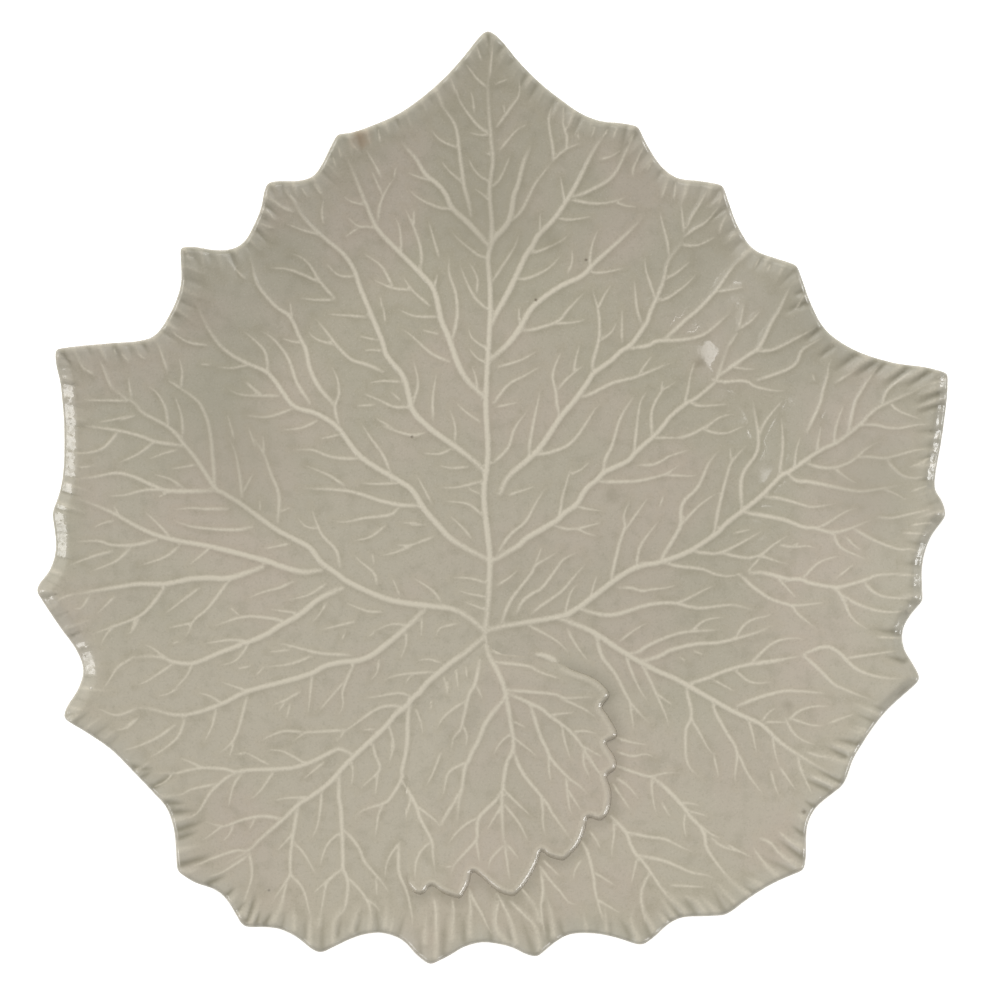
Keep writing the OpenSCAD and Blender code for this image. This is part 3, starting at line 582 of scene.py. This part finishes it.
def laid_out(loop, ridges, rows, fill, apart):
    """A flat bmesh in the loop: mesh lines along the crests, rows of points and an even fill."""
    cells = {}
    places = []

    def cell(p):
        return int(p[0] // apart), int(p[1] // apart)

    def keep(p):
        cells.setdefault(cell(p), []).append(len(places))
        places.append(tuple(p))
        return len(places) - 1

    def add(p):
        """Keeps a place, unless it is too close to one that is kept."""
        column, row = cell(p)
        for i in (column - 1, column, column + 1):
            for j in (row - 1, row, row + 1):
                for q in cells.get((i, j), ()):
                    if (places[q][0] - p[0]) ** 2 + (places[q][1] - p[1]) ** 2 < apart * apart:
                        return None
        return keep(p)

    for p in loop:
        keep(p)
    edges = [(i, (i + 1) % len(loop)) for i in range(len(loop))]
    for r in ridges:
        kept = [add(p) if ok else None for p, ok in zip(r["line"], inside(r["line"], loop))]
        edges += [(a, b) for a, b in zip(kept, kept[1:]) if a is not None and b is not None]
    flanks = []
    for r in ridges:
        run = np.gradient(r["line"], axis=0)
        side = np.stack([-run[:, 1], run[:, 0]], -1) / np.linalg.norm(run, axis=1)[:, None]
        flanks += [r["line"] + side * (r["w"] * share)[:, None] for share in (0.5, -0.5, 1, -1)]
    for row in flanks + rows:
        for p in row[inside(row, loop)]:
            add(p)
    taken = nearest_of(places)
    low, high = loop.min(0), loop.max(0)
    grid_x = np.arange(low[0], high[0], fill)
    grid_y = np.arange(low[1], high[1], fill * 0.866)
    grid = np.array([(x + fill / 2 * (j % 2), y) for j, y in enumerate(grid_y) for x in grid_x])
    for p in grid[inside(grid, loop)]:
        if taken.find((*p, 0))[2] > fill * 0.5:
            places.append(tuple(p))
    flat = delaunay_2d_cdt([Vector(p) for p in places], edges, [], 1, 1e-7)
    bm = bmesh.new()
    made = [bm.verts.new((p.x, p.y, 0)) for p in flat[0]]
    for face in flat[2]:
        bm.faces.new([made[i] for i in face])
    return bm


# What the glaze follows: thin glaze on a crest, pooled glaze with painted shade, nearness to a
# ridge, and the lip, which takes a painted reflection
tint_names = ("pale", "pool_and_shade", "beside", "lip")
lip_fade = 5 * mm


def smooth_drop(d):
    """Zero below zero and straight above it, with a soft start."""
    return 0 if d <= 0 else d * d / (d + slope_start)


def shaped(bm, loop, out, surface, ridges, bevel, bevel_w, rings, tinted):
    """Lifts the flat sheet to its surface, then draws its edge out and down in rings."""
    pale, pool_and_shade, beside, lip = [bm.verts.layers.float.new(name) for name in tint_names]
    seat = bm.verts.layers.int.new("seat")
    verts = list(bm.verts)
    p = np.array([v.co.xy for v in verts])
    height, *tints = relief(p, ridges)
    near = nearest_of(loop)
    for v, v_z, *tint in zip(verts, surface(p) + height, *tints):
        _, i, off = near.find((*v.co.xy, 0))
        v.co.z = v_z - bevel[i] * lip_slope * smooth_drop(bevel_w[i] - off)
        v[pale], v[pool_and_shade], v[beside] = tint
        if off < bevel_w[i]:
            v[beside] *= max(0, 1 - bevel[i])
        v[lip] = tinted * max(0, 1 - off / lip_fade)
    lip_z = np.zeros(len(loop))
    for e in open_edge(bm):
        for v in e.verts:
            v[seat] = near.find((*v.co.xy, 0))[1]
            lip_z[v[seat]] = v.co.z
    for reach, drop in rings:
        for v in drawn(bm):
            q = loop[v[seat]] + out[v[seat]] * reach
            v.co = (*q, lip_z[v[seat]] - drop)
            v[pale] *= 0.9
            v[pool_and_shade] *= 0.85
            v[beside] = 0
            v[lip] = tinted
    return seat


def verts_of(made):
    return [v for v in made["geom"] if isinstance(v, bmesh.types.BMVert)]


def open_edge(bm):
    return [e for e in bm.edges if e.is_boundary]


def drawn(bm):
    """A new ring of verts, drawn out from the open edge."""
    return verts_of(bmesh.ops.extrude_edge_only(bm, edges=open_edge(bm)))


def piece(name, bm):
    mesh = bpy.data.meshes.new(name)
    bm.to_mesh(mesh)
    bm.free()
    mesh.shade_smooth()
    made = bpy.data.objects.new(name, mesh)
    bpy.context.scene.collection.objects.link(made)
    return made


edge = rim - rim_out * lip_r
dish_ridges = main_veins + side_veins + crimps + painted_edge_shadow + [knob]
# Rows of mesh along the lip, then its quarter round
rows = [edge - rim_out * k * mm for k in (0.8, 1.6, 2.4, 3.3)]
bm = laid_out(edge, dish_ridges, rows, 1.8 * mm, 0.42 * mm)
rings = [(lip_r * math.sin(a), lip_r * (1 - math.cos(a))) for a in np.radians((22.5, 45, 67.5, 90))]
rings.append((lip_r, 0.4 * mm + lip_r))
seat = shaped(bm, edge, rim_out, top_z, dish_ridges + vein_pools_and_shade, bevel, bevel_w, rings, 1)
edge_under = under_z(edge)
for a in (45, 90):
    for v in drawn(bm):
        q = edge[v[seat]] + rim_out[v[seat]] * lip_r * math.cos(math.radians(a))
        v.co = (*q, edge_under[v[seat]] + lip_r * (1 - math.sin(math.radians(a))))
edge_reach = np.linalg.norm(edge, axis=1)[:, None]
# The underside has none of the rim's tints
rim_tints = [bm.verts.layers.float[name] for name in ("pale", "pool_and_shade", "lip")]
for share in (0.88, 0.74, 0.6, 0.46, 0.32, 0.18, 0.08, 0):
    ring = edge / edge_reach * (floor_r + (edge_reach - floor_r) * share)
    ring_z = under_z(ring)
    for v in drawn(bm):
        v.co = (*ring[v[seat]], ring_z[v[seat]])
        for tint in rim_tints:
            v[tint] = 0
bmesh.ops.holes_fill(bm, edges=open_edge(bm))
bmesh.ops.recalc_face_normals(bm, faces=bm.faces)
large_leaf = piece("large_leaf", bm)
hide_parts("leaf_dish")
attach(large_leaf, "root")


# The glaze on both leaves: a greige stoneware glaze with a soft shine, pale where it runs thin on a
# ridge, darker where it pools beside one, and drifting between a warm and a greenish grey. Its
# colour also holds painted light: painted shade towards the top, in three broad patches and beside
# the main veins, a painted shadow along the small leaf's free edge, and a painted reflection near
# the rim.
def srgb(*levels):
    return (*[((n / 255 + 0.055) / 1.055) ** 2.4 for n in levels], 1)


class Wire:
    """A socket in a material's nodes, with the operators that its sums use."""

    def __init__(self, tree, socket=None):
        self.tree, self.socket = tree, socket

    def node(self, kind, links, out=0, **settings):
        made = self.tree.nodes.new(kind)
        for name, value in settings.items():
            setattr(made, name, value)
        for key, value in links.items():
            if isinstance(value, Wire):
                self.tree.links.new(value.socket, made.inputs[key])
            else:
                made.inputs[key].default_value = value
        return Wire(self.tree, made.outputs[out])

    def sum(self, operation, *values):
        return self.node("ShaderNodeMath", dict(enumerate(values)), operation=operation)

    def __add__(self, other):
        return self.sum("ADD", self, other)

    def __sub__(self, other):
        return self.sum("SUBTRACT", self, other)

    def __rsub__(self, other):
        return self.sum("SUBTRACT", other, self)

    def __mul__(self, other):
        return self.sum("MULTIPLY", self, other)

    __radd__ = __add__
    __rmul__ = __mul__

    def into(self, shader, name):
        self.tree.links.new(self.socket, shader.inputs[name])

    def vector(self, operation, other, out=0):
        sockets = {0: self, 1: other}
        return self.node("ShaderNodeVectorMath", sockets, out=out, operation=operation)

    def bump(self, strength):
        sockets = {"Strength": strength, "Distance": 0.1 * mm, "Height": self}
        return self.node("ShaderNodeBump", sockets, out="Normal")

    def ramp(self, low, high):
        """0 below low, 1 above high and a soft rise between."""
        sockets = {0: self, 1: low, 2: high}
        return self.node("ShaderNodeMapRange", sockets, interpolation_type="SMOOTHSTEP")

    def mix(self, other, share):
        """This colour turned towards another by a share."""
        return self.node("ShaderNodeMix", {0: share, 6: self, 7: other}, out=2, data_type="RGBA")


def new_material(name):
    material = bpy.data.materials.new(name)
    material.use_nodes = True
    tree = material.node_tree
    return material, Wire(tree), tree.nodes["Principled BSDF"]


glaze, wire, shader = new_material("greige_glaze")
spot = wire.node("ShaderNodeTexCoord", {}, out="Object")
pale, pool_and_shade, beside, lip = [wire.node("ShaderNodeAttribute", {}, out="Fac", attribute_name=name)
                           for name in tint_names]


def drift(size, detail=2.0):
    """Soft noise whose patches are about as wide as the size."""
    sockets = {"Vector": spot, "Scale": 1 / size, "Detail": detail}
    return wire.node("ShaderNodeTexNoise", sockets, out="Fac")


field = wire.node("ShaderNodeRGB", {})
field.tree.nodes[-1].outputs[0].default_value = srgb(180, 172, 153)
# Painted shade: darker towards the leaf's top, where its walls face away from the light
rise = spot.vector("DOT_PRODUCT", (0.05, 1, 0), "Value")
field = field.mix(srgb(168, 161, 141), rise.ramp(-60 * mm, 75 * mm))
field = field.mix(srgb(183, 170, 154), drift(34 * mm).ramp(0.42, 0.68) * 0.6)
field = field.mix(srgb(166, 161, 140), drift(52 * mm).ramp(0.5, 0.72) * 0.5)
field = field.mix(srgb(150, 143, 122), drift(5 * mm, 3.0).ramp(0.45, 0.75) * 0.35)
field = field.mix(srgb(130, 124, 104), drift(0.7 * mm).ramp(0.5, 0.75) * 0.2)
field = field.mix(srgb(205, 198, 180), drift(0.55 * mm).ramp(0.52, 0.78) * 0.2)
# Painted reflection: the field turns paler and cooler towards the rim, as the lip's curve catches
# the sky
field = field.mix(srgb(180, 177, 163), lip * 0.4)
# Pooled glaze darkens the field, and so do the painted shade beside the main veins and the painted
# shadow along the small leaf's free edge
field = field.mix(srgb(120, 114, 93), pool_and_shade.ramp(0, 1.1) * 0.9)
thin = (pale * (0.55 + drift(0.8 * mm) * 0.9)).ramp(0.1, 0.85)
colour = field.mix(srgb(209, 201, 182), thin * 0.93)
flat_spot = spot.vector("MULTIPLY", (1, 1, 0))


def away_from(px):
    """How far a place is from a pixel's place on the plate, seen from above."""
    return flat_spot.vector("DISTANCE", (*traces(px)[0][0], 0), "Value")


# Iron specks and stains in the clay, and in the last three rows broad patches of painted shade:
# pixel, size in millimetres, colour and strength
stains_and_shade = (
    ("536,300", 0.8, (92, 80, 62), 0.8), ("586,260", 0.7, (92, 80, 62), 0.8),
    ("412,437", 0.7, (92, 80, 62), 0.7), ("804,811", 1.2, (100, 90, 70), 0.6),
    ("700,362", 2.6, (132, 122, 100), 0.5), ("361,138", 4.5, (158, 122, 88), 0.4),
    ("552,242", 5.0, (140, 133, 110), 0.45), ("613,496", 4.0, (140, 132, 110), 0.4),
    ("788,706", 3.0, (140, 131, 110), 0.45), ("269,890", 0.7, (100, 94, 84), 0.6),
    # Painted shade: broad darker patches on the left, on the right and above the middle, where the
    # plate's curve turns away from the light
    ("240,455", 34, (152, 146, 127), 0.42), ("870,480", 22, (152, 145, 126), 0.4),
    ("490,225", 26, (150, 143, 123), 0.32),
)
for px, size, stain, strength in stains_and_shade:
    ragged = away_from(px) + drift(size * mm) * (size * mm)
    spread = 1 - ragged.ramp(size * 0.6 * mm, size * 1.5 * mm)
    colour = colour.mix(srgb(*stain), spread * strength)
# The coat is thin beside the veins and in a spot on the right wall, and worn on the lip
worn = lip * drift(1.6 * mm, 3.0).ramp(0.44, 0.6)
coat = (1 - beside.ramp(0, 0.35) * 0.9) * (1 - worn * 0.75)
coat = coat * away_from("756,393").ramp(6 * mm, 10 * mm)
shader.inputs["Roughness"].default_value = 0.45
shader.inputs["Coat Roughness"].default_value = 0.07
coat.into(shader, "Coat Weight")
skin = drift(3.5 * mm) * 0.6 + drift(0.8 * mm) * 0.15
colour.into(shader, "Base Color")
skin.bump(0.18).into(shader, "Normal")
large_leaf.data.materials.append(glaze)


# The small leaf: a second leaf in relief on the lower half of the large one. Its right and lower
# teeth stand free with a rolled edge, and its left side runs out into the large leaf's clay.
small_t = 1.2 * mm
small_blend = 10 * mm
small_edge_r = 1.1 * mm
small_root = 1.2 * mm
small_main_w = 1.4 * mm
roll_w = 0.95 * mm
roll_h = 0.22 * mm
# Its main and side veins in pixels, each from its root to its tip
small_main_px = """
486,636 488,653 498,672 505,691 513,737 513,750 508,760 505,772 502,799 503,832 506,845
518,864|506,697 487,721 478,742 473,750 469,760 465,767 462,788 459,801 457,828
"""
small_side_px = """
506,690 553,694 565,698 590,697 598,699|494,662 528,666 540,672 567,681|488,651 514,655
528,653|497,650 508,647 519,646|509,694 540,708 550,716 569,730 583,747 588,758 599,776|562,724
564,738 571,761|584,750 584,764 591,780|573,732 585,731 599,734|583,746 594,752|530,703 540,735
546,747 552,760 570,779 580,786 588,794 595,799|549,755 549,769 551,783|566,776 569,805
573,817|568,790 582,812|560,698 584,709 598,719|550,715 576,712|513,750 523,773 546,802 553,814
575,844|541,796 543,810 543,824 546,838|503,787 509,795 533,818|503,803 519,823 529,843|514,738
531,751 538,758|505,846 510,882|512,733 504,739 498,746 493,756|469,761 449,772 444,791
440,799|461,789 449,812 444,820 441,829|502,790 496,800 480,816 477,828 476,840 458,860 452,870
449,880|479,818 469,822 457,832 447,845|502,805 486,831|504,845 491,859 488,871|441,753 431,777
424,788|480,660 475,684 469,695 461,728 454,737 450,757|463,725 467,736 465,748|477,686
483,700|464,702 453,709 442,719 436,731|400,777 416,805 420,818 432,841 433,854 436,880|430,842
421,851 416,862 415,873 416,882|411,796 409,806 405,818 404,838|417,806 436,821 441,829|456,669
458,689|444,677 448,694|466,667 467,679|431,696 431,711|513,721 527,728|586,752 605,782|593,752
603,757|448,682 447,696|416,709 421,723 423,736|476,838 480,865|452,866 444,867|452,804 442,821
441,828|508,845 520,860
"""


def small_top_z(p):
    off = from_line(p, merge_line)
    full = np.minimum(1, off / small_blend)
    at_edge = np.minimum(1, off / (2.5 * mm))
    return top_z(p) + small_t * full * full * (3 - 2 * full) - 0.05 * mm * (1 - at_edge)


small_main = [vein(line, small_main_w, main_vein_h, 0.85) for line in traces(small_main_px)]
small_side = [vein(line) for line in traces(small_side_px)]
roll = small_rim - small_out * (small_edge_r + 0.2 * mm)
# The rolled edge is pale along its crest where the glaze runs thin, and that paleness also paints a
# highlight along the free edge
rolled = [ridge(roll[rows], roll_w, roll_h * free, 0.5 * free, 0)
          for rows, free in free_stretches(roll)]
small_ridges = small_main + small_side + rolled
edge = small_rim - small_out * small_edge_r
bm = laid_out(edge, small_ridges, [], 1.6 * mm, 0.38 * mm)
sheet = list(bm.faces)
flat = 0 * edge[:, 0]
rings = np.array([(0.35, 0.08), (0.7, 0.28), (1.05, 0.58), (1.35, 0.92), (1.6, 1.35)]) * mm
seat = shaped(bm, edge, small_out, small_top_z, small_ridges, flat, flat, rings, 0)
brim = drawn(bm)
under = verts_of(bmesh.ops.duplicate(bm, geom=sheet))
for v, z in zip(under, top_z(np.array([v.co.xy for v in under]))):
    v.co.z = z - small_root
meets = {v[seat]: v.co.copy() for v in under if v.is_boundary}
for v in brim:
    v.co = meets[v[seat]]
bmesh.ops.remove_doubles(bm, verts=bm.verts, dist=0.001 * mm)
bmesh.ops.recalc_face_normals(bm, faces=bm.faces)
small_leaf = piece("small_leaf", bm)
small_leaf.data.materials.append(glaze)
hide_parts("overlay_leaf")
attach(small_leaf, "root")


# The foot ring: turned from the same clay on the underside of the floor. Its face is wiped clean of
# glaze before firing, so it shows the bare, slightly sandy clay.
bare_clay, wire, shader = new_material("bare_clay")
spot = wire.node("ShaderNodeTexCoord", {}, out="Object")
grain = drift(0.7 * mm, 4.0)
stain = drift(12 * mm)
clay = {0: stain.ramp(0.35, 0.7), 6: srgb(214, 199, 172), 7: srgb(196, 178, 148)}
clay = wire.node("ShaderNodeMix", clay, out=2, data_type="RGBA")
clay = clay.mix(srgb(168, 148, 118), grain.ramp(0.55, 0.75) * 0.5)
shader.inputs["Roughness"].default_value = 0.85
clay.into(shader, "Base Color")
grain.bump(0.5).into(shader, "Normal")
foot_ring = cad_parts["foot_ring"]
foot_ring.data.materials.clear()
foot_ring.data.materials.append(bare_clay)


# The studio: a pale floor lit like a light table, a large soft light high on the upper left, small
# panes near the camera for the streaks on the wall, a low one for the right lip's shine, and the
# camera straight above.
floor_size = 4.0
bm = bmesh.new()
bmesh.ops.create_grid(bm, x_segments=1, y_segments=1, size=floor_size / 2)
floor = piece("floor", bm)
pale_floor, wire, shader = new_material("pale_floor")
shader.inputs["Base Color"].default_value = (0.9, 0.9, 0.9, 1)
shader.inputs["Roughness"].default_value = 0.9
shader.inputs["Emission Color"].default_value = (1, 1, 1, 1)
shader.inputs["Emission Strength"].default_value = 0.6
floor.data.materials.append(pale_floor)
floor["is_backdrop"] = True


def soft_light(name, turn, tilt, far, size, power, on, spin=0):
    """An area light at that turn and tilt from the plate. Its size is along the tilt and across."""
    light = bpy.data.lights.new(name, "AREA")
    light.shape = "RECTANGLE"
    light.size, light.size_y = size
    light.energy = power
    lamp = bpy.data.objects.new(name, light)
    aim = Euler((0, math.radians(tilt), math.radians(turn))).to_matrix()
    lamp.location = aim @ Vector((0, 0, far))
    lamp.rotation_euler = (aim @ Matrix.Rotation(math.radians(spin), 3, "Z")).to_euler()
    lamp.visible_diffuse, lamp.visible_glossy = on
    bpy.context.scene.collection.objects.link(lamp)


# Whether a light shows in the clay's own colour, and in its shine
body, shine = (True, False), (False, True)
soft_light("key", 112, 45, 2.0, (0.9, 0.9), 20.4, body)
soft_light("window", 190, 51, 1.3, (0.5, 0.9), 7.7, shine)
soft_light("upper_pane", 215.2, 21, 1.3, (0.27, 0.027), 0.16, shine, 8)
soft_light("middle_pane", 200.3, 13.3, 1.3, (0.08, 0.024), 0.05, shine, 38)
soft_light("lower_pane", 181.3, 13.2, 1.3, (0.07, 0.036), 0.03, shine)
soft_light("rim_light", -13, 62, 1.3, (0.55, 0.62), 9.0, shine)
world = bpy.data.worlds.new("studio")
world.use_nodes = True
world.node_tree.nodes["Background"].inputs["Color"].default_value = (1, 1, 1, 1)
world.node_tree.nodes["Background"].inputs["Strength"].default_value = 0.61
bpy.context.scene.world = world
bpy.context.scene.view_settings.view_transform = "Standard"

photo_px = 1000
px_size = (leaf_high.x - leaf_low.x) / (leaf_px[2] - leaf_px[0])
middle = traces(f"{photo_px / 2},{photo_px / 2}")[0][0]
eye = bpy.data.cameras.new("camera")
eye.type = "ORTHO"
eye.ortho_scale = photo_px * px_size
camera = bpy.data.objects.new("camera", eye)
camera.location = (middle[0], middle[1], 1.2)
bpy.context.scene.collection.objects.link(camera)
bpy.context.scene.camera = camera

[[list(corner) for corner in box] for box in (cad_box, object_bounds())]
